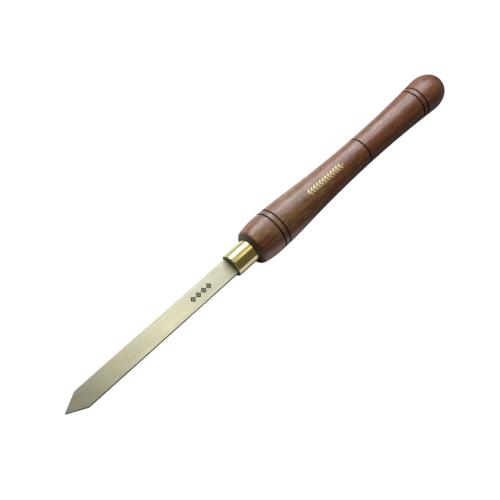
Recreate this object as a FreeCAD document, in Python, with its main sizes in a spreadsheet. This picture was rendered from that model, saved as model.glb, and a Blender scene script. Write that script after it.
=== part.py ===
import FreeCAD, Part
import math
import os

import Sketcher
from FreeCAD import Placement, Rotation, Vector

# A woodturner's parting tool: a flat steel blade with a V point, glued by its tang into a turned handle
# whose front is held by a brass ferrule.
#
# Millimetres. The origin is on the tool's axis, in the plane where the ferrule's rear end seats on the
# handle's shoulder. +X runs along the axis to the cutting edge, +Z is square to the blade's wide faces.

START, END, CENTRE = 1, 2, 3          # the named points of a sketch edge
X_AXIS, Y_AXIS = -1, -2               # a sketch's own axes; the start of X_AXIS is the sketch's origin
FIRST_EXTERNAL = -3                   # a sketch numbers its external edges down from here
V_OVERSIZE = 1.5                      # a groove's V is drawn this much larger, to stand out of the wood

doc = FreeCAD.newDocument("parting_tool")

# ---------------------------------------------------------------- the driving dimensions

SIZES = [
    # blade
    ("blade_width", 16.0),
    ("blade_thick", 3.2),
    ("blade_reach", 167.0),           # ferrule mouth to cutting edge
    ("point_length", 15.5),
    ("blade_corner_round", 0.3),
    ("tang_width", 9.0),
    ("tang_length", 60.0),            # from the ferrule's mouth
    ("tang_relief", 0.1),             # ground off each wide face of the tang, so that the glue keys
    ("tang_tip_chamfer", 2.0),
    # ferrule
    ("ferrule_length", 20.6),
    ("ferrule_wall", 1.2),
    ("ferrule_round", 0.8),
    ("ferrule_fit", 0.0),             # radial clearance on the tenon: none, it is driven on tight
    # handle, its outline from the shoulder back
    ("handle_length", 243.0),         # shoulder to butt end
    ("tenon_dia", 18.0),
    ("tenon_setback", 0.4),           # tenon's end behind the ferrule's mouth
    ("shoulder_step", 1.05),          # flat of the shoulder outside the ferrule
    ("bulge_back", 19.5),             # shoulder to the fattest place of the front bulge
    ("bulge_dia", 35.1),
    ("bulge_curve", 70.0),            # the outline's radius in front of that place
    ("fade_curve", 441.0),            # and behind it
    ("waist_back", 138.5),            # shoulder to the slimmest place
    ("waist_dia", 26.3),
    ("butt_ahead", 19.7),             # butt end to the fattest place of the rear bulge
    ("butt_dia", 32.3),
    ("butt_curve", 26.0),
    # socket for the tang
    ("glue_room", 0.25),              # between the tang's corners and the socket's wall
    ("socket_spare", 3.0),            # deeper than the tang
    # burnt grooves, placed by their bottoms
    ("groove_width", 1.0),
    ("groove_depth", 0.55),
    ("front_groove_back", 24.1),      # from the shoulder
    ("mid_groove_back", 134.2),       # from the shoulder
    ("rear_groove_ahead", 33.2),      # from the butt end
    ("groove_pair_gap", 5.3),
]


def make_sheet():
    sheet = doc.addObject("Spreadsheet::Sheet", "sizes")
    for row, (alias, value) in enumerate(SIZES, start=1):
        sheet.set(f"A{row}", alias)
        sheet.set(f"B{row}", str(value))
        sheet.setAlias(f"B{row}", alias)
    doc.recompute()
    return sheet


sizes = make_sheet()

# sizes that more than one piece shares
TENON_END = "(sizes.ferrule_length - sizes.tenon_setback)"
TIP = "(sizes.ferrule_length + sizes.blade_reach)"
BORE_RADIUS = "(sizes.tenon_dia / 2 + sizes.ferrule_fit)"
SHOULDER_RADIUS = f"({BORE_RADIUS} + sizes.ferrule_wall + sizes.shoulder_step)"
TANG_THICK = "(sizes.blade_thick - 2 * sizes.tang_relief)"
SOCKET_RADIUS = f"(sqrt(sizes.tang_width ^ 2 + {TANG_THICK} ^ 2) / 2 + sizes.glue_room)"
SOCKET_DEPTH = "(sizes.tang_length - sizes.tenon_setback + sizes.socket_spare)"


def value(expression):
    return float(sizes.evalExpression(expression))


def size(alias):
    return value(f"sizes.{alias}")


# ---------------------------------------------------------------- helpers

def new_body(label):
    body = doc.addObject("PartDesign::Body", label)
    body.Label = label
    return body


def new_sketch(body, name, role):
    """A sketch on one of the body's own origin planes."""
    plane = next(f for f in body.Origin.OriginFeatures if f.Role == role)
    sketch = body.newObject("Sketcher::SketchObject", name)
    sketch.AttachmentSupport = [(plane, "")]
    sketch.MapMode = "FlatFace"
    return sketch


def constrain(sketch, kind, *where):
    return sketch.addConstraint(Sketcher.Constraint(kind, *where))


def bind(sketch, name, expression, kind, *where):
    """A named dimension, tied to the sheet."""
    index = constrain(sketch, kind, *where, value(expression))
    sketch.renameConstraint(index, name)
    sketch.setExpression(f"Constraints.{name}", expression)


def line(sketch, a, b):
    return sketch.addGeometry(Part.LineSegment(Vector(*a, 0), Vector(*b, 0)))


def polygon(sketch, points):
    """A closed run of lines. Returns the numbers of its edges."""
    edges = [line(sketch, a, b) for a, b in zip(points, points[1:] + points[:1])]
    for edge, follower in zip(edges, edges[1:] + edges[:1]):
        constrain(sketch, "Coincident", edge, END, follower, START)
    return edges


def revolve(body, kind, name, sketch):
    """Turns a sketch about its horizontal axis, to add (Revolution) or to cut (Groove)."""
    feature = body.newObject(kind, name)
    feature.Profile = sketch
    feature.ReferenceAxis = (sketch, ["H_Axis"])
    feature.Angle = 360
    doc.recompute()
    return feature


def fillet(body, name, base, is_wanted, radius):
    edges = [f"Edge{i}" for i, edge in enumerate(base.Shape.Edges, start=1) if is_wanted(edge)]
    feature = body.newObject("PartDesign::Fillet", name)
    feature.Base = (base, edges)
    feature.setExpression("Radius", radius)
    doc.recompute()
    return feature


def near(a, b):
    return abs(a - b) < 1e-6


# ---------------------------------------------------------------- blade

def draw_bar(plan):
    """The bar from the ferrule's mouth to the point, seen square to its wide faces."""
    half = size("blade_width") / 2
    mouth = size("ferrule_length")
    tip = value(TIP)
    heel = tip - size("point_length")
    left, left_bevel, _, right, _ = polygon(
        plan, [(mouth, half), (heel, half), (tip, 0), (heel, -half), (mouth, -half)])
    constrain(plan, "Horizontal", left)
    constrain(plan, "PointOnObject", left_bevel, END, X_AXIS)
    constrain(plan, "Symmetric", left, START, right, END, X_AXIS)
    constrain(plan, "Symmetric", left, END, right, START, X_AXIS)
    bind(plan, "mouth", "sizes.ferrule_length", "DistanceX", X_AXIS, START, left, START)
    bind(plan, "tip", TIP, "DistanceX", X_AXIS, START, left_bevel, END)
    bind(plan, "point", "sizes.point_length", "DistanceX", left_bevel, START, left_bevel, END)
    bind(plan, "width", "sizes.blade_width", "DistanceY", right, END, left, START)


def draw_tang(plan):
    """The tang, from the ferrule's mouth into the handle."""
    half = size("tang_width") / 2
    chamfer = size("tang_tip_chamfer")
    mouth = size("ferrule_length")
    tang_end = mouth - size("tang_length")
    left_half = [(mouth, half), (tang_end + chamfer, half), (tang_end, half - chamfer)]
    right_half = [(along, -across) for along, across in reversed(left_half)]
    left, left_chamfer, _, right_chamfer, right, _ = polygon(plan, left_half + right_half)
    constrain(plan, "Horizontal", left)
    constrain(plan, "Symmetric", left, START, right, END, X_AXIS)
    constrain(plan, "Symmetric", left, END, right, START, X_AXIS)
    constrain(plan, "Symmetric", left_chamfer, END, right_chamfer, START, X_AXIS)
    bind(plan, "mouth", "sizes.ferrule_length", "DistanceX", X_AXIS, START, left, START)
    bind(plan, "length", "sizes.tang_length", "DistanceX", left_chamfer, END, left, START)
    bind(plan, "width", "sizes.tang_width", "DistanceY", right, END, left, START)
    for name, kind in (("chamfer_along", "DistanceX"), ("chamfer_across", "DistanceY")):
        bind(plan, name, "sizes.tang_tip_chamfer", kind, left_chamfer, END, left_chamfer, START)


def pad_both_ways(body, name, plan, thickness):
    pad = body.newObject("PartDesign::Pad", name)
    pad.Profile = plan
    pad.SideType = "Symmetric"
    pad.setExpression("Length", thickness)
    doc.recompute()
    return pad


def make_blade():
    """Bar and tang in one piece. The bar's shoulders are level with the ferrule's mouth."""
    body = new_body("blade")
    half = size("blade_width") / 2
    bar_plan = new_sketch(body, "bar_plan", "XY_Plane")
    draw_bar(bar_plan)
    bar = pad_both_ways(body, "bar", bar_plan, "sizes.blade_thick")

    def is_long_corner(edge):
        box = edge.BoundBox
        return near(box.YLength, 0) and near(box.ZLength, 0) and near(abs(box.YMax), half)

    fillet(body, "softened_corners", bar, is_long_corner, "sizes.blade_corner_round")
    tang_plan = new_sketch(body, "tang_plan", "XY_Plane")
    draw_tang(tang_plan)
    pad_both_ways(body, "tang", tang_plan, TANG_THICK)
    return body


# ---------------------------------------------------------------- ferrule

def make_ferrule():
    body = new_body("ferrule")
    inner = value(BORE_RADIUS)
    outer = inner + size("ferrule_wall")
    length = size("ferrule_length")

    section = new_sketch(body, "wall_section", "XY_Plane")
    bottom, front, top, rear = polygon(section, [(0, inner), (length, inner), (length, outer), (0, outer)])
    for edge in (bottom, top):
        constrain(section, "Horizontal", edge)
    for edge in (front, rear):
        constrain(section, "Vertical", edge)
    constrain(section, "PointOnObject", bottom, START, Y_AXIS)
    bind(section, "bore_radius", BORE_RADIUS, "DistanceY", X_AXIS, START, bottom, START)
    bind(section, "wall", "sizes.ferrule_wall", "DistanceY", front, START, front, END)
    bind(section, "length", "sizes.ferrule_length", "DistanceX", bottom, START, bottom, END)
    tube = revolve(body, "PartDesign::Revolution", "tube", section)

    def is_mouth_rim(edge):
        box = edge.BoundBox
        return near(box.XMin, length) and near(box.XMax, length) and near(edge.Curve.Radius, outer)

    fillet(body, "mouth_round", tube, is_mouth_rim, "sizes.ferrule_round")
    return body


# ---------------------------------------------------------------- handle

def hollow_radius(top, top_curve, waist):
    """The radius of a hollow that is level at the waist and runs into a bulge of radius top_curve."""
    run = top.x - waist.x
    rise = top.y - waist.y
    return (run ** 2 + rise ** 2) / (2 * rise) - top_curve


def on_way(centre, radius, other):
    return centre + (other - centre).normalize() * radius


def outline_arcs():
    """The outline's tangent arcs from shoulder to butt, each as (centre, start, end)."""
    bulge_curve = size("bulge_curve")
    fade_curve = size("fade_curve")
    butt_curve = size("butt_curve")
    butt_end = Vector(-size("handle_length"), 0, 0)
    bulge = Vector(-size("bulge_back"), size("bulge_dia") / 2, 0)
    waist = Vector(-size("waist_back"), size("waist_dia") / 2, 0)
    butt = butt_end + Vector(size("butt_ahead"), size("butt_dia") / 2, 0)

    bulge_centre = bulge - Vector(0, bulge_curve, 0)
    fade_centre = bulge - Vector(0, fade_curve, 0)
    front_centre = waist + Vector(0, hollow_radius(bulge, fade_curve, waist), 0)
    rear_centre = waist + Vector(0, hollow_radius(butt, butt_curve, waist), 0)
    butt_centre = butt - Vector(0, butt_curve, 0)

    # the shoulder's round starts square to the axis, where the shoulder's flat ends
    shoulder = Vector(0, value(SHOULDER_RADIUS), 0)
    run = size("bulge_back")
    lift = shoulder.y - bulge_centre.y
    shoulder_round = (bulge_curve ** 2 - lift ** 2 - run ** 2) / (2 * (bulge_curve - run))
    shoulder_centre = shoulder - Vector(shoulder_round, 0, 0)

    # the butt's dome has its centre on the axis
    run = size("butt_ahead")
    dome = (butt_curve ** 2 - butt_centre.y ** 2 - run ** 2) / (2 * (butt_curve - run))
    dome_centre = butt_end + Vector(dome, 0, 0)

    before_bulge = on_way(bulge_centre, bulge_curve, shoulder_centre)
    before_hollow = on_way(fade_centre, fade_curve, front_centre)
    after_hollow = on_way(butt_centre, butt_curve, rear_centre)
    before_dome = on_way(butt_centre, butt_curve, dome_centre)
    return [
        (shoulder_centre, shoulder, before_bulge),
        (bulge_centre, before_bulge, bulge),
        (fade_centre, bulge, before_hollow),
        (front_centre, before_hollow, waist),
        (rear_centre, waist, after_hollow),
        (butt_centre, after_hollow, before_dome),
        (dome_centre, before_dome, butt_end),
    ]


def add_arc(sketch, centre, a, b):
    """An arc from a to b, the short way round. Returns its number and which of its points a and b are."""
    angle_a = math.atan2(a.y - centre.y, a.x - centre.x)
    angle_b = math.atan2(b.y - centre.y, b.x - centre.x)
    anticlockwise = (angle_b - angle_a) % (2 * math.pi) < math.pi
    low, high = (angle_a, angle_b) if anticlockwise else (angle_b, angle_a)
    circle = Part.Circle(centre, Vector(0, 0, 1), (a - centre).Length)
    edge = sketch.addGeometry(Part.ArcOfCircle(circle, low, high))
    return edge, (START, END) if anticlockwise else (END, START)


def draw_outline(profile):
    """The arcs of the outline, with their sizes. Returns their numbers and their (first, last) points."""
    drawn = [add_arc(profile, *arc) for arc in outline_arcs()]
    edges = [edge for edge, _ in drawn]
    ends = dict(drawn)
    shoulder, bulge, fade, front, rear, butt, dome = edges
    for edge, follower in zip(edges, edges[1:]):
        constrain(profile, "Tangent", edge, ends[edge][1], follower, ends[follower][0])
    constrain(profile, "Horizontal", shoulder, ends[shoulder][0], shoulder, CENTRE)
    constrain(profile, "PointOnObject", dome, CENTRE, X_AXIS)

    bind(profile, "shoulder_radius", SHOULDER_RADIUS,
         "DistanceY", X_AXIS, START, shoulder, ends[shoulder][0])
    for name, edge in (("bulge_curve", bulge), ("fade_curve", fade), ("butt_curve", butt)):
        bind(profile, name, f"sizes.{name}", "Radius", edge)
    for name, edge in (("bulge", bulge), ("waist", front)):
        top = ends[edge][1]
        constrain(profile, "Vertical", edge, CENTRE, edge, top)
        bind(profile, f"{name}_back", f"sizes.{name}_back", "DistanceX", edge, top, X_AXIS, START)
        bind(profile, f"{name}_radius", f"sizes.{name}_dia / 2", "DistanceY", X_AXIS, START, edge, top)
    bind(profile, "butt_ahead", "sizes.butt_ahead", "DistanceX", dome, ends[dome][1], butt, CENTRE)
    bind(profile, "butt_radius", "sizes.butt_curve - sizes.butt_dia / 2",
         "DistanceY", butt, CENTRE, X_AXIS, START)
    return edges, ends


def draw_tenon_and_axis(profile, shoulder, shoulder_point, dome, dome_point):
    """Closes the profile: shoulder face, tenon, tenon's end, and the axis back to the butt."""
    tenon_radius = size("tenon_dia") / 2
    tenon_end = value(TENON_END)
    corners = [(0, value(SHOULDER_RADIUS)), (0, tenon_radius), (tenon_end, tenon_radius),
               (tenon_end, 0), (-size("handle_length"), 0)]
    face, side, end_face, axis = [line(profile, a, b) for a, b in zip(corners, corners[1:])]
    for link in ((shoulder, shoulder_point, face, START), (face, END, side, START),
                 (side, END, end_face, START), (end_face, END, axis, START),
                 (axis, END, dome, dome_point)):
        constrain(profile, "Coincident", *link)
    constrain(profile, "Vertical", face)
    constrain(profile, "Horizontal", side)
    constrain(profile, "Vertical", end_face)
    constrain(profile, "PointOnObject", axis, START, X_AXIS)
    constrain(profile, "PointOnObject", axis, END, X_AXIS)
    constrain(profile, "PointOnObject", face, END, Y_AXIS)
    bind(profile, "tenon_end", TENON_END, "DistanceX", X_AXIS, START, side, END)
    bind(profile, "tenon_radius", "sizes.tenon_dia / 2", "DistanceY", X_AXIS, START, side, END)
    bind(profile, "length", "sizes.handle_length", "DistanceX", axis, END, X_AXIS, START)


def bore_socket(body, turning):
    mouth = new_sketch(body, "socket_mouth", "YZ_Plane")
    mouth.setExpression("AttachmentOffset.Base.z", TENON_END)
    circle = mouth.addGeometry(Part.Circle(Vector(), Vector(0, 0, 1), value(SOCKET_RADIUS)))
    constrain(mouth, "Coincident", circle, CENTRE, X_AXIS, START)
    bind(mouth, "radius", SOCKET_RADIUS, "Radius", circle)
    socket = body.newObject("PartDesign::Pocket", "socket")
    socket.Profile = mouth
    socket.setExpression("Length", SOCKET_DEPTH)
    doc.recompute()
    wanted = math.pi * value(SOCKET_RADIUS) ** 2 * value(SOCKET_DEPTH)
    if abs(turning.Shape.Volume - socket.Shape.Volume - wanted) > 0.01 * wanted:
        raise RuntimeError("the socket doesn't cut its full depth")
    return socket


def draw_groove(cuts, name, place, surface):
    """A V whose bottom is groove_depth below the outline edge that it cuts."""
    along = -value(place)
    depth = size("groove_depth")
    half = size("groove_width") / 2 * V_OVERSIZE
    bottom = size("waist_dia") / 2
    lip = bottom + depth * V_OVERSIZE
    front_side, lid, rear_side = polygon(cuts, [(along, bottom), (along + half, lip), (along - half, lip)])
    mark = cuts.addGeometry(Part.Point(Vector(along, bottom + depth, 0)), True)
    constrain(cuts, "PointOnObject", mark, START, surface)
    constrain(cuts, "Vertical", front_side, START, mark, START)
    constrain(cuts, "Horizontal", lid)
    constrain(cuts, "Equal", front_side, rear_side)
    bind(cuts, f"{name}_place", place, "DistanceX", front_side, START, X_AXIS, START)
    bind(cuts, f"{name}_depth", "sizes.groove_depth", "DistanceY", front_side, START, mark, START)
    bind(cuts, f"{name}_rise", f"sizes.groove_depth * {V_OVERSIZE}",
         "DistanceY", front_side, START, front_side, END)
    bind(cuts, f"{name}_width", f"sizes.groove_width * {V_OVERSIZE}", "DistanceX", lid, END, lid, START)


def cut_grooves(body, base, profile, fade, front, rear):
    cuts = new_sketch(body, "groove_sections", "XY_Plane")
    doc.recompute()
    surface = {}
    for number, edge in enumerate((fade, front, rear)):
        cuts.addExternal(profile.Name, f"Edge{edge + 1}")
        surface[edge] = FIRST_EXTERNAL - number
    front_place = "sizes.front_groove_back"
    rear_place = "sizes.handle_length - sizes.rear_groove_ahead"
    draw_groove(cuts, "front_a", front_place, surface[fade])
    draw_groove(cuts, "front_b", f"{front_place} + sizes.groove_pair_gap", surface[fade])
    draw_groove(cuts, "mid", "sizes.mid_groove_back", surface[front])
    draw_groove(cuts, "rear_a", f"{rear_place} - sizes.groove_pair_gap", surface[rear])
    draw_groove(cuts, "rear_b", rear_place, surface[rear])
    grooves = revolve(body, "PartDesign::Groove", "burnt_grooves", cuts)
    if base.Shape.Volume - grooves.Shape.Volume < 1:
        raise RuntimeError("the grooves don't cut")


def make_handle():
    body = new_body("handle")
    profile = new_sketch(body, "handle_profile", "XY_Plane")
    edges, ends = draw_outline(profile)
    shoulder, _, fade, front, rear, _, dome = edges
    draw_tenon_and_axis(profile, shoulder, ends[shoulder][0], dome, ends[dome][1])
    turning = revolve(body, "PartDesign::Revolution", "turning", profile)
    socket = bore_socket(body, turning)
    cut_grooves(body, socket, profile, fade, front, rear)
    return body


# ---------------------------------------------------------------- adhesive round the tang

def add_fill(name, start, radius, length):
    """A cylinder along the axis, from start towards the butt."""
    fill = doc.addObject("Part::Cylinder", name)
    fill.Placement = Placement(Vector(), Rotation(Vector(0, 1, 0), -90))
    fill.setExpression("Placement.Base.x", start)
    fill.setExpression("Radius", radius)
    fill.setExpression("Height", length)
    return fill


def make_adhesive(blade):
    """What the socket and the recess in the ferrule's mouth hold besides the tang."""
    filled = doc.addObject("Part::Fuse", "filled_room")
    filled.Base = add_fill("socket_fill", TENON_END, SOCKET_RADIUS, SOCKET_DEPTH)
    filled.Tool = add_fill("mouth_fill", "sizes.ferrule_length", BORE_RADIUS, "sizes.tenon_setback")
    adhesive = doc.addObject("Part::Cut", "tang_adhesive")
    adhesive.Base = filled
    adhesive.Tool = blade
    adhesive.Label = "tang_adhesive"
    doc.recompute()
    return adhesive


# ---------------------------------------------------------------- check and write

blade = make_blade()
sub_parts = [blade, make_ferrule(), make_handle(), make_adhesive(blade)]
doc.recompute()

for item in doc.Objects:
    if "Invalid" in item.State or "Error" in item.State:
        raise RuntimeError(f"{item.Label} failed: {item.State}")
for sub_part in sub_parts:
    if sub_part.Shape.isNull() or not sub_part.Shape.isValid():
        raise RuntimeError(f"{sub_part.Label} has no valid shape")

os.makedirs("parts", exist_ok=True)
for sub_part in sub_parts:
    shape = sub_part.Shape
    box = shape.optimalBoundingBox()
    shape.exportStep(os.path.join("parts", f"{sub_part.Label}.step"))
    print(f"{sub_part.Label}: x {box.XMin:.2f} to {box.XMax:.2f}, {box.YLength:.2f} wide,"
          f" {box.ZLength:.2f} high, {shape.Volume / 1000:.2f} cm3, {len(shape.Solids)} solid")
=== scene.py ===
# %% [markdown]
# # A woodturner's V parting tool
# The tool has four pieces that matter. A flat bar of high-speed steel is ground to a V point. Its tang is
# glued into a long turned handle. A brass ferrule keeps the end of the handle from splitting. Two thin
# films sit on the surface: a gold foil stamp on the wood and a dark etched mark on the steel.
# The engineering model is loaded first, as a fixed frame, and every piece below is placed from it.

# %% Load the frame
import math

import bmesh
import bpy
from mathutils import Matrix, Vector


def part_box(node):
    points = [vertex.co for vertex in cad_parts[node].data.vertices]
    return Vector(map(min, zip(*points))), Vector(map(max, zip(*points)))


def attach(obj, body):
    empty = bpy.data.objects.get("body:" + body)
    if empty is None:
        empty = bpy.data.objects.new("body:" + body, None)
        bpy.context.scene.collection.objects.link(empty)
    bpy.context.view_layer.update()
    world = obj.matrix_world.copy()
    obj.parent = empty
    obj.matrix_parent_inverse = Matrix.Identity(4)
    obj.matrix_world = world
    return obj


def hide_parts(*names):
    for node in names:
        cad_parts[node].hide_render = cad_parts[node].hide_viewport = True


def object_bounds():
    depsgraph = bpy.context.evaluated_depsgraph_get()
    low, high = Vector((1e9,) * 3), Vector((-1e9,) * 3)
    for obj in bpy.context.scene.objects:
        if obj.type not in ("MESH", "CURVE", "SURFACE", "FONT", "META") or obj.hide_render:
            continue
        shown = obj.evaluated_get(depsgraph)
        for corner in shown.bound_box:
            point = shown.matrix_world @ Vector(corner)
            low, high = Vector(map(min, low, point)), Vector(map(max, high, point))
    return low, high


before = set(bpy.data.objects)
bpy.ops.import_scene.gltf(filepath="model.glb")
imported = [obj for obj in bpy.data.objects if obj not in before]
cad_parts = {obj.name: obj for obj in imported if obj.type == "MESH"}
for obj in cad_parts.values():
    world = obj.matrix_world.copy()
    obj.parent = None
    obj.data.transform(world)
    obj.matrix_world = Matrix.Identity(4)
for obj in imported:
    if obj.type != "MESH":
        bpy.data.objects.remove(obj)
CAD_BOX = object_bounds()
MM = 0.001

for name in sorted(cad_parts):
    low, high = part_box(name)
    print(f"{name}: {[round(v / MM, 1) for v in low]} to {[round(v / MM, 1) for v in high]} mm")

# %% [markdown]
# ## Colour handling
# Blender can bend bright colours the way film does. A catalogue picture on white paper has plain colours
# and a clean white ground, so the plain "Standard" transform is used.

# %% Plain colours
bpy.context.scene.view_settings.view_transform = "Standard"
bpy.context.scene.view_settings.look = "None"
print("colours are shown as", bpy.context.scene.view_settings.view_transform)

# %% [markdown]
# ## The camera
# The tool lies level, with its axis along X. The camera looks down on it from beyond the ferrule, a little
# to the right of the blade's flat, and it is rolled so that the tool runs up the picture from lower left
# to upper right. The foot is the place on the axis nearest to the camera.

# %% Camera
CAMERA_FOOT = 0.2178            # along the axis from the handle's shoulder
CAMERA_DISTANCE = 0.5832        # from that foot
CAMERA_TILT = math.radians(15)  # from straight above, towards +Y
CAMERA_ROLL = math.radians(41.69)
CAMERA_LENS = 56.39
CAMERA_CLIP = (0.01, 50)        # nearer or further than this, nothing is drawn
AIM_ALONG = -0.0002             # the camera looks at this place on the axis
AIM_ASIDE = 0.00025             # and a hair beside it, towards +Y


def camera_matrix():
    out, high = CAMERA_DISTANCE * math.sin(CAMERA_TILT), CAMERA_DISTANCE * math.cos(CAMERA_TILT)
    place = Vector((CAMERA_FOOT, out, high))
    towards = (Vector((AIM_ALONG, 0, 0)) - place).normalized()
    to_butt = Vector((-1, 0, 0))
    to_butt = (to_butt - towards * to_butt.dot(towards)).normalized()
    aside = towards.cross(to_butt)
    towards = (Vector((AIM_ALONG, 0, 0)) + aside * AIM_ASIDE - place).normalized()
    to_butt = (to_butt - towards * to_butt.dot(towards)).normalized()
    aside = towards.cross(to_butt)
    right = to_butt * math.cos(CAMERA_ROLL) + aside * math.sin(CAMERA_ROLL)
    up = to_butt * math.sin(CAMERA_ROLL) - aside * math.cos(CAMERA_ROLL)
    return Matrix.Translation(place) @ Matrix((right, up, -towards)).transposed().to_4x4()


camera_data = bpy.data.cameras.new("camera")
camera_data.lens = CAMERA_LENS
camera_data.clip_start, camera_data.clip_end = CAMERA_CLIP
camera = bpy.data.objects.new("camera", camera_data)
camera.matrix_world = camera_matrix()
bpy.context.scene.collection.objects.link(camera)
bpy.context.scene.camera = camera
print("camera at", [round(v, 4) for v in camera.matrix_world.translation])

# %% [markdown]
# ## The light
# Polished brass is a curved mirror, so each lamp draws a band down the ferrule. The bands could be painted
# on, but they would then stay put when the tool is turned, so real lamps draw them. A broad cool softbox
# with a hot middle stands to the left and gives the wide pale band. Three small warm lamps overhead give the
# yellow ones. A sixth, long and cool, hangs beyond the butt and lights the ridge of the handle. Each lamp's
# brightness is given as radiance, which doesn't change when a lamp is made larger.

# %% Softbox helper
def softbox(name, middle, size, radiance, colour):
    """A soft rectangular lamp that faces the tool's axis squarely."""
    lamp_data = bpy.data.lights.new(name, "AREA")
    lamp_data.shape = "RECTANGLE"
    lamp_data.size, lamp_data.size_y = size
    lamp_data.energy = radiance * math.pi * size[0] * size[1]
    lamp_data.color = colour
    lamp = bpy.data.objects.new(name, lamp_data)
    back = Vector((0, middle.y, middle.z)).normalized()
    along = Vector((1, 0, 0))
    turned_to_axis = Matrix((along, back.cross(along), back)).transposed().to_4x4()
    lamp.matrix_world = Matrix.Translation(middle) @ turned_to_axis
    lamp.visible_camera = False
    bpy.context.scene.collection.objects.link(lamp)
    return lamp


def from_above(degrees, distance, along):
    """The place that many degrees from straight above, towards -Y."""
    turn = math.radians(degrees)
    return Vector((along, -distance * math.sin(turn), distance * math.cos(turn)))


# %% Lamps
DAYLIGHT = (0.88, 0.94, 1.0)
LAMPLIGHT = (1.0, 0.96, 0.59)
LAMPS = (
    # name, degrees from above, distance, place along the tool, size, radiance, colour
    ("side_softbox", 53, 0.45, -0.22, (0.56, 0.42), 1.3, DAYLIGHT),
    ("side_hot_middle", 50, 0.44, -0.22, (0.52, 0.18), 4.7, DAYLIGHT),
    ("top_softbox", 6.5, 0.35, -0.045, (0.27, 0.25), 0.40, LAMPLIGHT),
    ("top_hot_middle", 8, 0.34, 0.030, (0.085, 0.16), 1.95, LAMPLIGHT),
    ("top_ridge", -5, 0.33, -0.125, (0.10, 0.10), 0.80, LAMPLIGHT),
    ("handle_softbox", 22, 0.60, -0.60, (0.50, 0.39), 4.2, DAYLIGHT),
)
for name, degrees, distance, along, size, radiance, colour in LAMPS:
    lamp = softbox(name, from_above(degrees, distance, along), size, radiance, colour)
    print(name, "at", [round(v, 3) for v in lamp.location], "with", round(lamp.data.energy, 2), "W")

# %% [markdown]
# The room round the lamps is dim and warm, so that metal has something dark to mirror between the bands.
# Matt surfaces gather light from the whole room, and there it would wash the shadows out, so rays that
# leave a matt surface find it dimmer still. The camera sees plain white instead of the room.

# %% World
ROOM_COLOUR = (1.0, 0.80, 0.46, 1)
ROOM_STRENGTH = 0.14
ROOM_DIMMED = 0.09              # taken off the strength for rays from matt surfaces


def make_world():
    world = bpy.data.worlds.new("studio")
    world.use_nodes = True
    nodes, links = world.node_tree.nodes, world.node_tree.links
    room = nodes["Background"]
    room.inputs["Color"].default_value = ROOM_COLOUR
    paper = nodes.new("ShaderNodeBackground")
    paper.inputs["Color"].default_value = (1, 1, 1, 1)
    seen = nodes.new("ShaderNodeLightPath")
    dimmer = nodes.new("ShaderNodeMath")
    dimmer.operation = "MULTIPLY_ADD"
    links.new(seen.outputs["Is Diffuse Ray"], dimmer.inputs[0])
    dimmer.inputs[1].default_value = -ROOM_DIMMED
    dimmer.inputs[2].default_value = ROOM_STRENGTH
    links.new(dimmer.outputs["Value"], room.inputs["Strength"])
    mix = nodes.new("ShaderNodeMixShader")
    links.new(seen.outputs["Is Camera Ray"], mix.inputs["Fac"])
    links.new(room.outputs["Background"], mix.inputs[1])
    links.new(paper.outputs["Background"], mix.inputs[2])
    links.new(mix.outputs["Shader"], nodes["World Output"].inputs["Surface"])
    bpy.context.scene.world = world
    return world


print("world:", make_world().name)

# %% [markdown]
# ## Helpers for building shaders
# A shader is a small network of nodes. These helpers make a node with its values, join two sockets and do
# arithmetic, so that each finish below reads as a list of what it is made of.

# %% Shader helpers
class Shader:
    """Nodes and links of one material or node group."""

    def __init__(self, tree):
        self.tree = tree

    def put(self, socket, source):
        if isinstance(source, bpy.types.NodeSocket):
            self.tree.links.new(source, socket)
        elif source is not None:
            socket.default_value = source

    def node(self, kind, inputs=None, **settings):
        made = self.tree.nodes.new("ShaderNode" + kind)
        for key, setting in settings.items():
            setattr(made, key, setting)
        for key, source in (inputs or {}).items():
            self.put(made.inputs[key], source)
        return made

    def math(self, operation, a, b=None, c=None, clamp=False):
        made = self.node("Math", operation=operation, use_clamp=clamp)
        for socket, source in zip(made.inputs, (a, b, c)):
            self.put(socket, source)
        return made.outputs[0]

    def vector(self, operation, a, b=None):
        made = self.node("VectorMath", operation=operation)
        for socket, source in zip(made.inputs, (a, b)):
            self.put(socket, source)
        return made.outputs["Value"] if operation in ("DOT_PRODUCT", "LENGTH") else made.outputs["Vector"]

    def between(self, value, low, high, to_low=0.0, to_high=1.0):
        """Value goes from low to high, and the result goes smoothly from to_low to to_high."""
        made = self.node("MapRange", {"Value": value, "From Min": low, "From Max": high,
                                      "To Min": to_low, "To Max": to_high}, interpolation_type="SMOOTHSTEP")
        return made.outputs["Result"]

    def mix(self, amount, a, b):
        made = self.node("Mix", data_type="RGBA")
        colour_inputs = [s for s in made.inputs if s.type == "RGBA"]
        self.put(made.inputs["Factor"], amount)
        self.put(colour_inputs[0], a)
        self.put(colour_inputs[1], b)
        return next(s for s in made.outputs if s.type == "RGBA")

    def group(self, group, **values):
        made = self.node("Group")
        made.node_tree = group
        for key, source in values.items():
            self.put(made.inputs[key.replace("_", " ").title()], source)
        return made.outputs

    def bump(self, height, distance, normal=None):
        made = self.node("Bump", {"Strength": 1.0, "Distance": distance, "Height": height})
        self.put(made.inputs["Normal"], normal)
        return made.outputs["Normal"]


def new_group(name, inputs, outputs):
    """An empty node group. Returns it with its shader, its input sockets and its output sockets."""
    tree = bpy.data.node_groups.new(name, "ShaderNodeTree")
    for label, value in inputs.items():
        kind = "NodeSocketVector" if isinstance(value, tuple) else "NodeSocketFloat"
        tree.interface.new_socket(name=label, in_out="INPUT", socket_type=kind).default_value = value
    for label in outputs:
        tree.interface.new_socket(name=label, in_out="OUTPUT", socket_type="NodeSocketFloat")
    given = tree.nodes.new("NodeGroupInput")
    wanted = tree.nodes.new("NodeGroupOutput")
    return tree, Shader(tree), given.outputs, wanted.inputs


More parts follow.
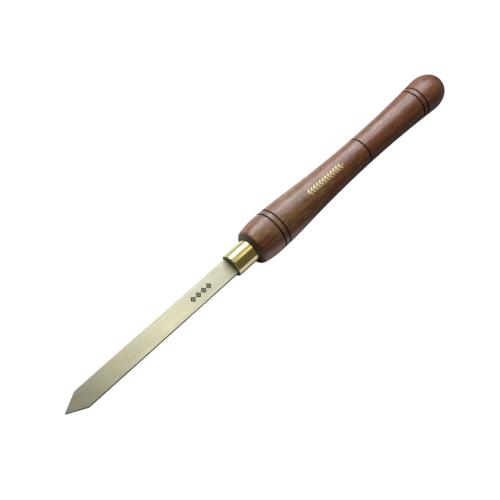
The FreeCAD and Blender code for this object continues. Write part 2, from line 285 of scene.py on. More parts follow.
def new_material(name):
    material = bpy.data.materials.new(name)
    material.use_nodes = True
    return material, Shader(material.node_tree), material.node_tree.nodes["Principled BSDF"]


def describe(group):
    print("group", group.name, "with", ", ".join(socket.name for socket in group.interface.items_tree))


print("shader helpers:", ", ".join(helper for helper in vars(Shader) if not helper.startswith("_")))

# %% [markdown]
# ## Effects that several finishes share
# Wood fibre, grinding lines and polishing lines are all noise that is stretched one way. An image could be
# stretched over the pieces, but noise in space has no seams and stays sharp close up. One group makes it,
# with how many features there are to a metre along the tool and across it.

# %% Group: stretched noise
NOISE_ROUGHNESS = 0.55          # how much of the finer noise is mixed in at each step of detail


def make_stretched_noise():
    tree, shader, given, wanted = new_group(
        "stretched_noise",
        {"Along": 50.0, "Across": 50.0, "Detail": 3.0, "Offset": (0.0, 0.0, 0.0)},
        ["Value"])
    place = shader.node("TexCoord").outputs["Object"]
    stretch = shader.node("CombineXYZ", {"X": given["Along"], "Y": given["Across"], "Z": given["Across"]})
    scaled = shader.vector("MULTIPLY", place, stretch.outputs["Vector"])
    moved = shader.vector("ADD", scaled, given["Offset"])
    noise = shader.node("TexNoise", {"Vector": moved, "Scale": 1.0,
                                     "Detail": given["Detail"], "Roughness": NOISE_ROUGHNESS})
    shader.put(wanted["Value"], noise.outputs["Fac"])
    return tree


stretched_noise = make_stretched_noise()
describe(stretched_noise)

# %% [markdown]
# Some effects sit in a band at one place along the tool: the scorch in a burnt groove, and the painted shade
# in the corner where wood meets brass. They could be painted on as textures, but a band that is worked out
# from its place moves with the groove. The group gives 1 in the middle of the band and 0 outside.

# %% Group: a band along the tool
def make_band():
    tree, shader, given, wanted = new_group(
        "band_along", {"Centre": 0.0, "Half Width": 0.001}, ["Mask"])
    place = shader.node("TexCoord").outputs["Object"]
    along = shader.node("SeparateXYZ", {"Vector": place}).outputs["X"]
    away = shader.math("ABSOLUTE", shader.math("SUBTRACT", along, given["Centre"]))
    near = shader.math("SUBTRACT", 1.0, shader.math("DIVIDE", away, given["Half Width"]), clamp=True)
    shader.put(wanted["Mask"], shader.between(near, 0.0, 1.0))
    return tree


band_along = make_band()
describe(band_along)

# %% [markdown]
# Hands and benches rub edges bright. The bevel node rounds the surface's direction near an edge. Where
# the rounded direction differs from the true one there is an edge, and noise breaks it into patches.

# %% Group: edge wear
NOT_AN_EDGE, FULL_EDGE = 0.995, 0.85   # how alike the true and the rounded direction are


def make_edge_wear():
    tree, shader, given, wanted = new_group("edge_wear", {"Width": 0.0004, "Patchiness": 600.0}, ["Mask"])
    true_normal = shader.node("NewGeometry").outputs["Normal"]
    rounded = shader.node("Bevel", {"Radius": given["Width"]}, samples=6).outputs["Normal"]
    same = shader.vector("DOT_PRODUCT", true_normal, rounded)
    edge = shader.between(same, NOT_AN_EDGE, FULL_EDGE)
    place = shader.node("TexCoord").outputs["Object"]
    patches = shader.node("TexNoise", {"Vector": place, "Scale": given["Patchiness"], "Detail": 2.0})
    worn = shader.between(patches.outputs["Fac"], 0.35, 0.60)
    shader.put(wanted["Mask"], shader.math("MULTIPLY", edge, worn))
    return tree


edge_wear = make_edge_wear()
describe(edge_wear)

# %% [markdown]
# Nothing that is handled is evenly glossy. Fingers leave soft smears, up to a few centimetres across, with
# smaller spots in them. This group gives a mask for them, which each finish turns into roughness.

# %% Group: handling smears
SPOTS_TO_A_SMEAR = 7.0
SPOTS_SHARE = 0.35


def make_smears():
    tree, shader, given, wanted = new_group(
        "handling_smears", {"Size": 0.02, "Seed": (0.0, 0.0, 0.0)}, ["Mask"])
    place = shader.node("TexCoord").outputs["Object"]
    scale = shader.math("DIVIDE", 1.0, given["Size"])
    moved = shader.vector("ADD", place, given["Seed"])
    wide = shader.node("TexNoise", {"Vector": moved, "Scale": scale, "Detail": 2.0, "Distortion": 0.6})
    small_scale = shader.math("MULTIPLY", scale, SPOTS_TO_A_SMEAR)
    small = shader.node("TexNoise", {"Vector": moved, "Scale": small_scale, "Detail": 3.0})
    both = shader.math("MULTIPLY", wide.outputs["Fac"], 1 - SPOTS_SHARE)
    both = shader.math("MULTIPLY_ADD", small.outputs["Fac"], SPOTS_SHARE, both)
    shader.put(wanted["Mask"], shader.between(both, 0.38, 0.62))
    return tree


handling_smears = make_smears()
describe(handling_smears)

# %% [markdown]
# ## Reading the handle's outline
# The handle was turned on a lathe, so its whole shape is one outline. The frame's handle has it: at each
# place along the axis, the vertex furthest out is on the outline. The burnt grooves are the places where
# the outline dips and comes back within a millimetre. They are taken out here and cut again, rounder.

# %% Outline and grooves
DIP = 0.3 * MM                  # shallower dips aren't grooves
GROOVE_REACH = 1.2 * MM         # nor are dips whose lips are further away than this


def furthest_out(node):
    """{place along the axis: the largest distance from it there}"""
    found = {}
    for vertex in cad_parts[node].data.vertices:
        along = round(vertex.co.x, 6)
        found[along] = max(found.get(along, 0.0), math.hypot(vertex.co.y, vertex.co.z))
    return dict(sorted(found.items()))


def find_grooves(outline):
    """Each groove as (place of its bottom, depth, half width)."""
    grooves = []
    stations = list(outline)
    for before, here, after in zip(stations, stations[1:], stations[2:]):
        close = here - before < GROOVE_REACH and after - here < GROOVE_REACH
        lips = (outline[before] + outline[after]) / 2
        if close and min(outline[before], outline[after]) - outline[here] > DIP:
            grooves.append((here, lips - outline[here], (after - before) / 2))
    return grooves


handle_stations = furthest_out("handle")
GROOVES = find_grooves(handle_stations)
print("grooves at", [round(place / MM, 1) for place, _, _ in GROOVES], "mm")

# %% [markdown]
# The outline's stations are up to a centimetre apart on the long hollow, which would show as facets in a
# reflection. A smooth curve is drawn through them, with a direction at each station that fits its two
# neighbours, and then it is divided finely.

# %% A curve through points
SMOOTH_STEP = 0.9 * MM


def directions(points):
    """At each point, the direction of a curve that passes through it and its neighbours."""
    found = []
    for i, here in enumerate(points):
        before = points[i - 1] if i else None
        after = points[i + 1] if i + 1 < len(points) else None
        if before is None or after is None:
            found.append(((after or here) - (before or here)).normalized())
            continue
        back, ahead = here - before, after - here
        found.append((back.normalized() * ahead.length + ahead.normalized() * back.length).normalized())
    return found


def smooth_through(points, first=None):
    """A fine polyline on a smooth curve through the points. first sets the direction it starts in."""
    ways = directions(points)
    ways[0] = first or ways[0]
    fine = [points[0]]
    for a, b, way_a, way_b in zip(points, points[1:], ways, ways[1:]):
        span = (b - a).length
        count = max(1, round(span / SMOOTH_STEP))
        for k in range(1, count + 1):
            t = k / count
            fine.append(a * (2 * t**3 - 3 * t**2 + 1) + way_a * span * (t**3 - 2 * t**2 + t)
                        + b * (3 * t**2 - 2 * t**3) + way_b * span * (t**3 - t**2))
    return fine


bend = [Vector((0, 0)), Vector((10 * MM, 0)), Vector((10 * MM, 10 * MM))]
print("a 20 mm bend of", len(bend), "points becomes", len(smooth_through(bend)))

# %% Smooth outline
LIP = 1.05                      # a groove's lips, as a share of its half width


def in_a_groove(along):
    return any(abs(along - place) < half * LIP for place, _, half in GROOVES)


def in_the_bore(along):
    """The bottom of the bore for the tang has a station too, and it isn't on the outside."""
    return abs(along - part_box("tang_adhesive")[0].x) < 0.01 * MM


turned = [Vector((along, out)) for along, out in handle_stations.items()
          if along <= 0 and not in_a_groove(along) and not in_the_bore(along)]
turned[0] = Vector((turned[0].x, 0.0))
smooth_outline = smooth_through(turned, first=Vector((0, 1)))
print(len(turned), "stations became", len(smooth_outline))


def handle_radius(along):
    """The smooth outline's distance from the axis."""
    for a, b in zip(smooth_outline, smooth_outline[1:]):
        if a.x <= along <= b.x and b.x > a.x:
            return a.y + (b.y - a.y) * (along - a.x) / (b.x - a.x)
    return smooth_outline[-1].y


print("handle is", round(2 * handle_radius(-0.1) / MM, 1), "mm thick 100 mm behind the shoulder")

# %% [markdown]
# ## Turning shapes in code
# A lathe sweeps an outline round the axis. The same helper makes the handle, which closes on the axis at
# both ends, and the ferrule, which is a closed ring. Edges sharper than a set angle stay crisp.

# %% Lathe
def finish_mesh(name, bm, crisp=math.radians(35)):
    """Turns the bmesh into an object whose faces are smooth, apart from its crisp edges."""
    bmesh.ops.recalc_face_normals(bm, faces=bm.faces)
    for face in bm.faces:
        face.smooth = True
    for edge in bm.edges:
        edge.smooth = len(edge.link_faces) == 2 and edge.calc_face_angle(0.0) < crisp
    mesh = bpy.data.meshes.new(name)
    bm.to_mesh(mesh)
    bm.free()
    made = bpy.data.objects.new(name, mesh)
    bpy.context.scene.collection.objects.link(made)
    return made


def ring(bm, along, out, steps):
    if out < 1e-7:
        return [bm.verts.new((along, 0, 0))]
    turns = [2 * math.pi * k / steps for k in range(steps)]
    return [bm.verts.new((along, out * math.sin(turn), out * math.cos(turn))) for turn in turns]


def lathe(name, outline, steps, closed=False):
    bm = bmesh.new()
    rings = [ring(bm, point[0], point[1], steps) for point in outline]
    pairs = list(zip(rings, rings[1:])) + ([(rings[-1], rings[0])] if closed else [])
    for a, b in pairs:
        for k in range(steps):
            corners = [a[k % len(a)], a[(k + 1) % len(a)], b[(k + 1) % len(b)], b[k % len(b)]]
            bm.faces.new(list(dict.fromkeys(corners)))
    return finish_mesh(name, bm)

# %% [markdown]
# ## The handle
# One hardwood turning. A cylinder could be sculpted or scaled ring by ring, but a lathe's own way, one
# outline swept round, keeps it truly round. Its outside follows the smooth outline. Each groove is a rounded
# dip, as a hot wire leaves it. In front the shoulder turns in to the tenon that the ferrule grips, and the
# tenon is bored for the tang.

# %% Grooved outline
GROOVE_POINTS = 8
GROOVE_SPREAD = 1.15            # the rounded groove's half width, as a share of the straight one's


def groove_dip(along):
    """How deep the wood is cut away at this place."""
    for place, depth, half in GROOVES:
        away = abs(along - place) / (half * GROOVE_SPREAD)
        if away < 1:
            return depth * (1 - away) ** 1.5 * (1 + 1.5 * away)
    return 0.0


def grooved_outline():
    places = {round(point.x, 7): point.y for point in smooth_outline}
    for place, _, half in GROOVES:
        reach = half * GROOVE_SPREAD
        for k in range(-GROOVE_POINTS, GROOVE_POINTS + 1):
            along = place + reach * k / GROOVE_POINTS
            places[round(along, 7)] = handle_radius(along)
    return [Vector((along, out - groove_dip(along))) for along, out in sorted(places.items())]


print("outline with its grooves:", len(grooved_outline()), "points")

# %% Handle
TURNED_STEPS = 144
BROKEN_EDGE = 0.25 * MM         # how far sanding takes an edge off


def make_handle():
    tenon_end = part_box("handle")[1].x
    tenon_radius = max(out for along, out in handle_stations.items() if along > tenon_end / 2)
    glue_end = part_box("tang_adhesive")[0].x
    socket_radius = max(out for along, out in furthest_out("tang_adhesive").items() if along < 0)
    outline = grooved_outline()
    shoulder = outline.pop()
    outline += [Vector(point) for point in (
        (-BROKEN_EDGE * 0.3, shoulder.y - BROKEN_EDGE * 0.25), (0, shoulder.y - BROKEN_EDGE),
        (0, tenon_radius), (tenon_end - BROKEN_EDGE, tenon_radius), (tenon_end, tenon_radius - BROKEN_EDGE),
        (tenon_end, socket_radius), (glue_end, socket_radius), (glue_end, 0))]
    return lathe("handle_turned", outline, TURNED_STEPS)


handle = make_handle()
print("handle:", len(handle.data.polygons), "faces")

# %% [markdown]
# ## The ferrule
# A short length of brass tube, driven on to the tenon. A cylinder with a bevel modifier would do, but the
# lathe gives the mouth and the two inner edges their own radii. The mouth is rounded over and the edges
# are just broken, which is what makes the thin bright line round the mouth.

# %% Ferrule
INNER_BREAK = 0.15 * MM


def quarter_round(centre, radius, start, end, count=8):
    """Points on an arc from one angle to another, in degrees from the X axis."""
    turns = [math.radians(start + (end - start) * k / count) for k in range(count + 1)]
    return [(centre[0] + radius * math.cos(turn), centre[1] + radius * math.sin(turn)) for turn in turns]


def make_ferrule():
    stations = furthest_out("ferrule")
    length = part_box("ferrule")[1].x
    outer = max(stations.values())
    lip = outer - stations[max(stations)]
    bore = min(math.hypot(v.co.y, v.co.z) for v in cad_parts["ferrule"].data.vertices)
    outline = [(0, bore), (0, outer - INNER_BREAK), (INNER_BREAK, outer)]
    outline += quarter_round((length - lip, outer - lip), lip, 90, 0)
    outline += quarter_round((length - INNER_BREAK, bore + INNER_BREAK), INNER_BREAK, 0, -90, 3)
    print("ferrule:", round(length / MM, 2), "long,", round(2 * outer / MM, 2), "across")
    return lathe("ferrule_turned", outline, TURNED_STEPS, closed=True)


ferrule = make_ferrule()

# %% [markdown]
# ## The blade
# A ground bar with eased long corners. A scaled cube could be dragged to a point by hand. Here two planes cut
# the V, the way a grinding wheel takes the two bevels off, so the bevels are flat and their edges crisp. The
# tang is a narrower, slightly thinner bar that a boolean joins to it. Ferrule and handle hide all of it.

# %% Bars and cuts
def bar(name, start, end, half_width, half_thick, corner, corner_points):
    """A straight bar along X whose long corners are rounded."""
    wide, high = half_width - corner, half_thick - corner
    centres = [(wide, high, 0), (-wide, high, 90), (-wide, -high, 180), (wide, -high, 270)]
    section = []
    for across, high, turn in centres:
        section += quarter_round((across, high), corner, turn, turn + 90, corner_points)
    bm = bmesh.new()
    loops = [[bm.verts.new((along, across, high)) for across, high in section] for along in (start, end)]
    for k in range(len(section)):
        nxt = (k + 1) % len(section)
        bm.faces.new((loops[0][k], loops[0][nxt], loops[1][nxt], loops[1][k]))
    bm.faces.new(loops[0])
    bm.faces.new(loops[1][::-1])
    return name, bm


def cut(bm, point, outward):
    """Takes away what is outside the plane and closes the cut."""
    everything = bm.verts[:] + bm.edges[:] + bm.faces[:]
    left = bmesh.ops.bisect_plane(bm, geom=everything, plane_co=point, plane_no=outward, clear_outer=True)
    edges = [item for item in left["geom_cut"] if isinstance(item, bmesh.types.BMEdge)]
    bmesh.ops.contextual_create(bm, geom=edges)


def joined(body, addition):
    """The body with the other solid added to it."""
    union = body.modifiers.new("tang", "BOOLEAN")
    union.operation = "UNION"
    union.solver = "EXACT"
    union.object = addition
    graph = bpy.context.evaluated_depsgraph_get()
    mesh = bpy.data.meshes.new_from_object(body.evaluated_get(graph))
    bpy.data.objects.remove(body)
    bpy.data.objects.remove(addition)
    return mesh


# %% Blade
SPARE = 1 * MM                  # beyond the tip, for the bevels to cut away
TANG_OVERLAP = 4 * MM           # how far the tang runs into the bar, so that they join
POINT_EASE = 0.07 * MM          # taken off the point's edges


def make_blade():
    corners = [vertex.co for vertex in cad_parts["blade"].data.vertices]
    low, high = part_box("blade")
    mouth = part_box("ferrule")[1].x
    heel = max(co.x for co in corners if co.y > high.y - 0.05 * MM)
    round_edge = high.z - max(co.z for co in corners if co.y > high.y - 0.001 * MM)
    tang = [co for co in corners if co.x < mouth - 1 * MM]
    tang_half = max(co.y for co in tang)
    tang_thick = max(co.z for co in tang)
    chamfer = tang_half - max(co.y for co in tang if co.x < low.x + 0.01 * MM)

    name, bm = bar("blade_ground", mouth, high.x + SPARE, high.y, high.z, round_edge, 4)
    for side in (1, -1):
        outward = Vector((high.y, side * (high.x - heel), 0)).normalized()
        cut(bm, Vector((high.x, 0, 0)), outward)
    point_edges = [edge for edge in bm.edges
                   if all(v.co.x > heel - 1 * MM for v in edge.verts) and edge.calc_face_angle(0.0) > 0.6]
    bmesh.ops.bevel(bm, geom=point_edges, offset=POINT_EASE, segments=2, affect="EDGES", profile=0.5)
    body = finish_mesh(name, bm)

    _, bm = bar("tang", low.x, mouth + TANG_OVERLAP, tang_half, tang_thick, 0.05 * MM, 1)
    for side in (1, -1):
        cut(bm, Vector((low.x, side * (tang_half - chamfer), 0)), Vector((-1, side, 0)).normalized())
    mesh = joined(body, finish_mesh("tang", bm))
    mesh.name = name
    made = bpy.data.objects.new(name, mesh)
    bpy.context.scene.collection.objects.link(made)
    flat_faces = made.modifiers.new("flat_faces", "WEIGHTED_NORMAL")
    flat_faces.weight = 100
    flat_faces.keep_sharp = True
    print("blade: heel of the point at", round(heel / MM, 1), "tip at", round(high.x / MM, 1), "mm")
    return made


blade = make_blade()

# %% [markdown]
# ## Films on the surface
# A foil stamp and an etched mark are a few hundredths of a millimetre thick. A mask in the material could
# draw them, but it would blur close up once it is baked. So they are narrow solids laid on the surface: each
# one is a run of small sections, lofted together and capped. `lay` says where a flat drawing's point goes,
# and how far above or below the surface.

# %% Loft and strokes
FILM_TOP = 0.03 * MM
FILM_BOTTOM = -0.03 * MM


def loft(bm, sections, closed=False):
    rows = [[bm.verts.new(point) for point in section] for section in sections]
    count = len(rows[0])
    pairs = list(zip(rows, rows[1:])) + ([(rows[-1], rows[0])] if closed else [])
    for a, b in pairs:
        for k in range(count):
            nxt = (k + 1) % count
            bm.faces.new((a[k], a[nxt], b[nxt], b[k]))
    if not closed:
        bm.faces.new(rows[0])
        bm.faces.new(rows[-1][::-1])


def stroke(bm, middle, half_widths, lay):
    """A strip along the middle line, as wide at each of its points as half_widths says."""
    sections = []
    for i, (point, half) in enumerate(zip(middle, half_widths)):
        before, after = middle[max(i - 1, 0)], middle[min(i + 1, len(middle) - 1)]
        way = (after - before).normalized()
        aside = Vector((-way.y, way.x)) * half
        across = (point + aside, point, point - aside)
        top, bottom = [lay(p, FILM_TOP) for p in across], [lay(p, FILM_BOTTOM) for p in reversed(across)]
        sections.append(top + bottom)
    loft(bm, sections)


print("films stand", FILM_TOP / MM, "mm proud and are sunk", -FILM_BOTTOM / MM, "mm")

# %% [markdown]
# ## The foil stamp
# A generic laurel sprig in gold foil, pressed into the lacquer on the handle: a stem with pairs of small
# leaves. It is drawn flat, then wrapped round the handle at its own angle, following the outline.

# %% Foil sprig
SPRIG_START, SPRIG_END = -63.5 * MM, -107.5 * MM
SPRIG_HEIGHT = 5.7 * MM
SPRIG_TURN = math.radians(7)    # its middle, from straight above towards +Y
STEM_HALF = 0.22 * MM
STEM_POINTS = 60
LEAF_PAIRS = 12
LEAF_HALF = 0.72 * MM
LEAF_ROOT = 0.42 * MM           # from the stem's middle to where a leaf starts
LEAF_TIP = 0.02 * MM            # a leaf's half width where it ends


def on_handle(point, lift):
    out = handle_radius(point.x)
    turn = SPRIG_TURN + point.y / out
    return Vector((point.x, (out + lift) * math.sin(turn), (out + lift) * math.cos(turn)))


def leaf(bm, base, way, length, half, lay):
    shares = [k / 10 for k in range(11)]
    middle = [base + way * length * share for share in shares]
    widths = [half * math.sin(math.pi * share ** 0.8) ** 0.9 + LEAF_TIP for share in shares]
    stroke(bm, middle, widths, lay)


def make_sprig():
    bm = bmesh.new()
    length = SPRIG_END - SPRIG_START
    stem = [Vector((SPRIG_START + length * k / STEM_POINTS, 0)) for k in range(STEM_POINTS + 1)]
    stroke(bm, stem, [STEM_HALF] * len(stem), on_handle)
    spacing = length / (LEAF_PAIRS + 1)
    for k in range(LEAF_PAIRS):
        for side in (1, -1):
            root = Vector((SPRIG_START + spacing * (k + 0.55 + 0.12 * side), side * LEAF_ROOT))
            way = Vector((-0.78, side * 0.86)).normalized()
            leaf(bm, root, way, (SPRIG_HEIGHT / 2 - LEAF_ROOT) / way.y * side, LEAF_HALF, on_handle)
    return finish_mesh("foil_sprig", bm)


sprig = make_sprig()
print("sprig:", len(sprig.data.polygons), "faces")

# %% [markdown]
# ## The etched mark
# A generic row of lozenges on the blade's flat, in the dark oxide that electrolytic marking leaves. Each
# lozenge is an outline with a small solid one inside it.

# %% Etched lozenges
MARK_START, MARK_END = 42.7 * MM, 64.6 * MM
MARK_HEIGHT = 5.3 * MM
MARK_COUNT = 4
MARK_FILL = 0.46                # a lozenge's half length, as a share of the spacing
MARK_LINE = 0.25                # the outline's half width, as a share of the lozenge
MARK_MIDDLE = 0.34              # the solid lozenge in the middle, likewise


def on_blade(point, lift):
    return Vector((point.x, point.y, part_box("blade")[1].z + lift))


def lozenge(centre, along, across, share):
    corners = ((1, 0), (0, 1), (-1, 0), (0, -1))
    return [centre + Vector((x * along * share, y * across * share)) for x, y in corners]


def make_mark():
    bm = bmesh.new()
    pitch = (MARK_END - MARK_START) / MARK_COUNT
    for k in range(MARK_COUNT):
        centre = Vector((MARK_START + pitch * (k + 0.5), 0))
        half = (pitch * MARK_FILL, MARK_HEIGHT / 2)
        outer, inner = (lozenge(centre, *half, share) for share in (1.0, 1.0 - 2 * MARK_LINE))
        loft(bm, [[on_blade(o, FILM_TOP), on_blade(i, FILM_TOP),
                   on_blade(i, FILM_BOTTOM), on_blade(o, FILM_BOTTOM)]
                  for o, i in zip(outer, inner)], closed=True)
        small = lozenge(centre, *half, MARK_MIDDLE)
        loft(bm, [[on_blade(p, lift) for p in small] for lift in (FILM_TOP, FILM_BOTTOM)])
    return finish_mesh("etched_mark", bm)


mark = make_mark()
print("mark:", MARK_COUNT, "lozenges,", len(mark.data.polygons), "faces")

# %% [markdown]
# ## Handle wood
# A close-grained hardwood, stained brown and lacquered. An image of wood would have to be wrapped round and
# would smear on the shoulder and the butt. Here the grain fills space, as in a real blank, and the surface
# shows where it is cut. The pith of the tree was outside the handle, so growth rings cross it as long
# streaks, which wander a little along the tool.

# %% Growth rings
PITH = (0.0, -0.050, 0.034)
RING_SPACING = 5.5 * MM
RING_WANDER = 12 * MM


def growth_rings(shader):
    """0 just after a ring's dark line, rising to 1 at the next one."""
    place = shader.node("TexCoord").outputs["Object"]
    flat = shader.vector("MULTIPLY", shader.vector("SUBTRACT", place, PITH), (0, 1, 1))
    wander = shader.group(stretched_noise, along=9.0, across=45.0, detail=2.0, offset=(3.1, 1.7, 5.2))
    distance = shader.math("MULTIPLY_ADD", wander["Value"], RING_WANDER, shader.vector("LENGTH", flat))
    return shader.math("FRACT", shader.math("DIVIDE", distance, RING_SPACING))


handle_low, handle_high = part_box("handle")
print("about", round((handle_high.y - handle_low.y) / RING_SPACING), "growth rings across the handle")

# %% [markdown]
# Broad patches of stain drift from olive to red, with a pale place on the ridge behind the shoulder. Over
# them come five darker layers, each with its own share: rings, mottle, streaks, fibre and pores. They are
# listed in one table, so that each can be made stronger or weaker without a look at the nodes.

# %% Grain colours
WOOD_OLIVE = (0.40, 0.200, 0.078, 1)
WOOD_RED = (0.345, 0.112, 0.044, 1)
WOOD_DARK = (0.070, 0.021, 0.009, 1)
FIBRE = {"along": 150.0, "across": 1500.0, "detail": 4.0}
DARK_SHARES = {"rings": 0.36, "mottle": 0.40, "streaks": 0.38, "fibre": 0.46, "pores": 0.6}
PALE_PLACE = (-0.066, -0.001, 0.017)
PALE_STRETCH = (0.35, 1, 1)     # the pale place is about three times as long as it is wide
PALE_OUTSIDE, PALE_INSIDE = 24 * MM, 4 * MM


def grain_layers(shader):
    """The patches, then each darker layer by name."""
    def noise(low, high, **values):
        return shader.between(shader.group(stretched_noise, **values)["Value"], low, high)

    place = shader.node("TexCoord").outputs["Object"]
    away = shader.vector("MULTIPLY", shader.vector("SUBTRACT", place, PALE_PLACE), PALE_STRETCH)
    pale = shader.between(shader.vector("LENGTH", away), PALE_OUTSIDE, PALE_INSIDE, -0.10, 0.10)
    broad = shader.group(stretched_noise, along=26.0, across=75.0, detail=3.0)["Value"]
    patches = shader.between(shader.math("SUBTRACT", broad, pale), 0.39, 0.57)
    return patches, {
        "rings": shader.between(growth_rings(shader), 0.35, 1.0),
        "mottle": noise(0.44, 0.64, along=110.0, across=420.0, detail=3.0, offset=(4.0, 8.0, 1.0)),
        "streaks": noise(0.46, 0.70, along=22.0, across=520.0, detail=4.0, offset=(7.0, 2.0, 4.0)),
        "fibre": noise(0.36, 0.66, **FIBRE),
        "pores": noise(0.60, 0.68, along=240.0, across=1900.0, detail=1.0, offset=(1, 9, 3)),
    }


print("grain:", ", ".join(f"{layer} {share}" for layer, share in DARK_SHARES.items()))

# %% [markdown]
# Where the surface turns to face along the tool, the shoulder's front and the butt's dome get painted shade.
# The fibres are cut across there, so these faces also take less lacquer. A groove is made with a hot wire,
# which scorches it and a little of the wood on either side. Satin lacquer lies over all the rest.

# %% Wood
# Painted shade: the faces that look along the tool, the shoulder's front and the butt's dome, go towards
# this.
WOOD_PAINTED_SHADE = (0.030, 0.012, 0.007, 1)
SCORCH = (0.014, 0.0042, 0.0016, 1)
END_SHADE_FROM, END_SHADE_FULL = 0.12, 0.68    # how far the surface faces along the tool
END_SHADE_SHARE = 0.86
SCORCH_REACH = 3.3              # as a share of a groove's half width
LACQUER = 0.75
LACQUER_ROUGHNESS = 0.26
BARE_SHARE = 0.4                # of the lacquer, missing where the surface faces along the tool
WOOD_ROUGHNESS, SMEARED, END_GRAIN_ROUGH, BURNT = 0.40, 0.14, 0.15, 0.25    # the rest are added to the first
GRAIN_DEPTH = 0.09 * MM
RIPPLE_DEPTH = 0.08 * MM


def end_grain(shader):
    normal = shader.node("NewGeometry").outputs["Normal"]
    facing = shader.math("ABSOLUTE", shader.node("SeparateXYZ", {"Vector": normal}).outputs["X"])
    return shader.between(facing, END_SHADE_FROM, END_SHADE_FULL)


def scorch_marks(shader):
    scorched = 0.0
    for groove, _, half in GROOVES:
        band = shader.group(band_along, centre=groove, half_width=half * SCORCH_REACH)["Mask"]
        scorched = shader.math("ADD", scorched, band)
    return shader.between(scorched, 0.25, 0.75)


def make_wood():
    material, shader, surface = new_material("stained_lacquered_wood")
    patches, layers = grain_layers(shader)
    end_grain_shade, burnt = end_grain(shader), scorch_marks(shader)
    colour = shader.mix(patches, WOOD_OLIVE, WOOD_RED)
    for layer, share in DARK_SHARES.items():
        colour = shader.mix(shader.math("MULTIPLY", layers[layer], share), colour, WOOD_DARK)
    # painted shade on the shoulder's front and the butt's dome
    colour = shader.mix(shader.math("MULTIPLY", end_grain_shade, END_SHADE_SHARE), colour, WOOD_PAINTED_SHADE)
    shader.put(surface.inputs["Base Color"], shader.mix(burnt, colour, SCORCH))

    smears = shader.group(handling_smears, size=0.03)["Mask"]
    rough = shader.math("MULTIPLY_ADD", smears, SMEARED, WOOD_ROUGHNESS)
    rough = shader.math("MULTIPLY_ADD", end_grain_shade, END_GRAIN_ROUGH, rough)
    shader.put(surface.inputs["Roughness"], shader.math("MULTIPLY_ADD", burnt, BURNT, rough))
    bare = shader.math("MAXIMUM", burnt, shader.math("MULTIPLY", end_grain_shade, BARE_SHARE))
    shader.put(surface.inputs["Coat Weight"], shader.math("MULTIPLY_ADD", bare, -LACQUER, LACQUER))
    surface.inputs["Coat Roughness"].default_value = LACQUER_ROUGHNESS

    raised = shader.math("MULTIPLY", shader.group(stretched_noise, **FIBRE)["Value"], 0.5)
    relief = shader.math("SUBTRACT", raised, shader.math("MULTIPLY", layers["pores"], 0.7))
    ripple = shader.group(stretched_noise, along=60.0, across=220.0, detail=1.0)["Value"]
    grain = shader.bump(relief, GRAIN_DEPTH)
    shader.put(surface.inputs["Normal"], shader.bump(ripple, RIPPLE_DEPTH, grain))
    return material


wood = make_wood()
print(wood.name, "has", len(wood.node_tree.nodes), "nodes")

# %% [markdown]
# ## Brass
# Polished on the lathe, so very fine lines run round it. A single roughness would look like plastic foil, so
# handling dulls it in patches. Specks of tarnish are scattered over it. In the corner where the brass meets
# the wood, a thin ring of painted shade darkens it to the same dark colour.

# %% Brass
BRASS = (0.82, 0.735, 0.41, 1)
# The colour of tarnish specks, and of the painted shade in the corner by the wood.
BRASS_TARNISH_AND_SHADE = (0.42, 0.27, 0.08, 1)
POLISH_DEPTH = 0.004 * MM
CORNER_SHADE_REACH = 1.2 * MM         # how far the painted shade comes out of the corner
# Specks are tarnish; the corner ring is painted shade.
SPECK_SHARE, CORNER_SHADE_SHARE = 0.35, 0.7
BRASS_ROUGHNESS, BRASS_SMEARED, BRASS_LINED, BRASS_DULLED = 0.10, 0.06, 0.05, 0.3


def make_brass():
    material, shader, surface = new_material("polished_brass")
    lines = shader.group(stretched_noise, along=5200.0, across=18.0, detail=2.0)["Value"]
    smears = shader.group(handling_smears, size=0.009, seed=(0.4, 0.1, 0.2))["Mask"]
    # painted shade in the corner where the brass meets the wood
    corner = shader.group(band_along, centre=0.0, half_width=CORNER_SHADE_REACH)["Mask"]
    specks = shader.group(stretched_noise, along=900.0, across=900.0, detail=2.0)["Value"]
    tarnish_and_shade = shader.math("MULTIPLY", shader.between(specks, 0.58, 0.72), SPECK_SHARE)
    tarnish_and_shade = shader.math("MAXIMUM", tarnish_and_shade, shader.math("MULTIPLY", corner, CORNER_SHADE_SHARE))
    shader.put(surface.inputs["Base Color"], shader.mix(tarnish_and_shade, BRASS, BRASS_TARNISH_AND_SHADE))
    surface.inputs["Metallic"].default_value = 1.0
    rough = shader.math("MULTIPLY_ADD", smears, BRASS_SMEARED, BRASS_ROUGHNESS)
    rough = shader.math("MULTIPLY_ADD", lines, BRASS_LINED, rough)
    shader.put(surface.inputs["Roughness"], shader.math("MULTIPLY_ADD", tarnish_and_shade, BRASS_DULLED, rough))
    shader.put(surface.inputs["Normal"], shader.bump(lines, POLISH_DEPTH))
    return material


brass = make_brass()
print(brass.name, "has", len(brass.node_tree.nodes), "nodes")

# %% [markdown]
# ## Blade steel
# High-speed steel comes off the surface grinder with straight lines along it. The two bevels of the point
# were ground separately, so their lines run across. Which way a face looks tells them apart: a bevel faces
# forward, and a narrow face sideways. Faces that look sideways, the narrow faces and the bevels, get painted
# shade, much darker than the flats. The edges between the faces are worn a little brighter.

# %% Steel
STEEL = (0.66, 0.65, 0.59, 1)
STEEL_STAINED = (0.46, 0.44, 0.38, 1)
STEEL_BRIGHT = (0.80, 0.79, 0.76, 1)
# Painted shade: faces that look sideways, the narrow faces and the bevels, go towards this.
STEEL_NARROW_SHADE = (0.085, 0.08, 0.065, 1)
LINE_DEPTH = 0.012 * MM
LINE_SHARE, STAIN_SHARE, NARROW_SHADE_SHARE, WORN_SHARE = 0.45, 0.35, 0.85, 0.5
STEEL_METAL = 0.85
STEEL_ROUGHNESS, STEEL_SMEARED, STEEL_LINED = 0.29, 0.06, 0.10


